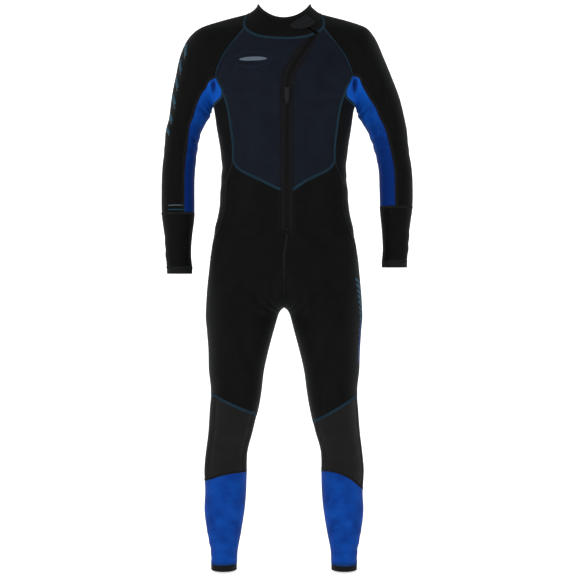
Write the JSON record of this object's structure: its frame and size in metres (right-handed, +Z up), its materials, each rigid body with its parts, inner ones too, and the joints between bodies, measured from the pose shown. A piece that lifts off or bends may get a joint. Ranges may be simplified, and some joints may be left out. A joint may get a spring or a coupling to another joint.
{
  "type": "full wetsuit",
  "caption": "Full-length, long-sleeve neoprene wetsuit with an off-centre front zip, raglan sleeves, contrast underarm and lower-leg panels, knee pads and a short split collar.",
  "frame": {"origin": "the hanging point: the middle of the neck opening, 14 mm below the neck seam's sides and 1.400 m above the left ankle hem", "axes": "+Z up along the body, the chest faces -Y, +X is the wearer's left"},
  "size_m": [0.6392, 0.2498, 1.4376],
  "materials": {
    "black_neoprene": "matt jersey-lined neoprene",
    "navy_neoprene": "matt jersey-lined neoprene",
    "blue_neoprene": "matt jersey-lined neoprene",
    "knee_fabric": "abrasion-proof knee fabric",
    "elastic_trim": "folded and stitched edge",
    "zip_plastic": "moulded plastic",
    "zip_tape": "woven tape",
    "hook_and_loop": "hook-and-loop tab",
    "badge_print": "rubbery transfer"
  },
  "bodies": {
    "suit": {"chest_right": "navy_neoprene", "chest_left": "navy_neoprene", "abdomen_right": "black_neoprene", "abdomen_left": "black_neoprene", "side_right": "black_neoprene", "side_left": "black_neoprene", "back_upper": "black_neoprene", "back_lower": "black_neoprene", "collar": "black_neoprene", "zip_tape_right": "zip_tape", "zip_tape_left": "zip_tape", "zip_teeth_right": "zip_plastic", "zip_teeth_left": "zip_plastic", "zip_top_stop": "zip_plastic", "zip_bottom_stop": "zip_plastic", "zip_flap": "black_neoprene", "chest_badge": "badge_print", "sleeve_upper_right": "black_neoprene", "sleeve_upper_left": "black_neoprene", "underarm_upper_right": "blue_neoprene", "underarm_upper_left": "blue_neoprene", "elbow_right": "black_neoprene", "elbow_left": "black_neoprene", "thigh_front_right": "black_neoprene", "thigh_front_left": "black_neoprene", "thigh_back_right": "black_neoprene", "thigh_back_left": "black_neoprene", "knee_pad_right": "knee_fabric", "knee_pad_left": "knee_fabric", "knee_back_right": "black_neoprene", "knee_back_left": "black_neoprene"},
    "forearm_right": {"sleeve_lower_right": "black_neoprene", "underarm_lower_right": "blue_neoprene", "forearm_right": "black_neoprene", "cuff_right": "elastic_trim"},
    "forearm_left": {"sleeve_lower_left": "black_neoprene", "underarm_lower_left": "blue_neoprene", "forearm_left": "black_neoprene", "cuff_left": "elastic_trim"},
    "shin_right": {"lower_leg_right": "blue_neoprene", "ankle_hem_right": "elastic_trim"},
    "shin_left": {"lower_leg_left": "blue_neoprene", "ankle_hem_left": "elastic_trim"},
    "slider": {"zip_slider": "zip_plastic"},
    "pull": {"zip_pull": "zip_plastic"},
    "collar_tab": {"collar_tab": "hook_and_loop"}
  },
  "joints": [
    {"name": "zip_slide", "type": "slide", "parent": "suit", "child": "slider", "axis": [0, 0.0253, -0.9997], "range_m": [0, 0.32]},
    {"name": "pull_tab_hinge", "type": "hinge", "parent": "slider", "child": "pull", "pos_m": [0.007, -0.12342, -0.19815], "axis": [-1, 0, 0], "range_deg": [0, 165]},
    {"name": "collar_tab_peel", "type": "hinge", "parent": "suit", "child": "collar_tab", "pos_m": [0.0675, -0.0456, -0.00558], "axis": [-0.7515, 0.1398, 0.6447], "range_deg": [0, 120]},
    {"name": "elbow_bend_right", "type": "hinge", "parent": "suit", "child": "forearm_right", "pos_m": [-0.262, 0.001, -0.318], "axis": [-1, 0, 0], "range_deg": [0, 100], "stiffness_Nm_per_rad": 0.4, "deforming": ["elbow_right"]},
    {"name": "elbow_bend_left", "type": "hinge", "parent": "suit", "child": "forearm_left", "pos_m": [0.27, 0.001, -0.318], "axis": [-1, 0, 0], "range_deg": [0, 100], "stiffness_Nm_per_rad": 0.4, "deforming": ["elbow_left"]},
    {"name": "knee_bend_right", "type": "hinge", "parent": "suit", "child": "shin_right", "pos_m": [-0.14, 0, -1.065], "axis": [1, 0, 0], "range_deg": [0, 95], "stiffness_Nm_per_rad": 0.8, "deforming": ["knee_pad_right", "knee_back_right"]},
    {"name": "knee_bend_left", "type": "hinge", "parent": "suit", "child": "shin_left", "pos_m": [0.14, 0, -1.065], "axis": [1, 0, 0], "range_deg": [0, 95], "stiffness_Nm_per_rad": 0.8, "deforming": ["knee_pad_left", "knee_back_left"]}
  ]
}
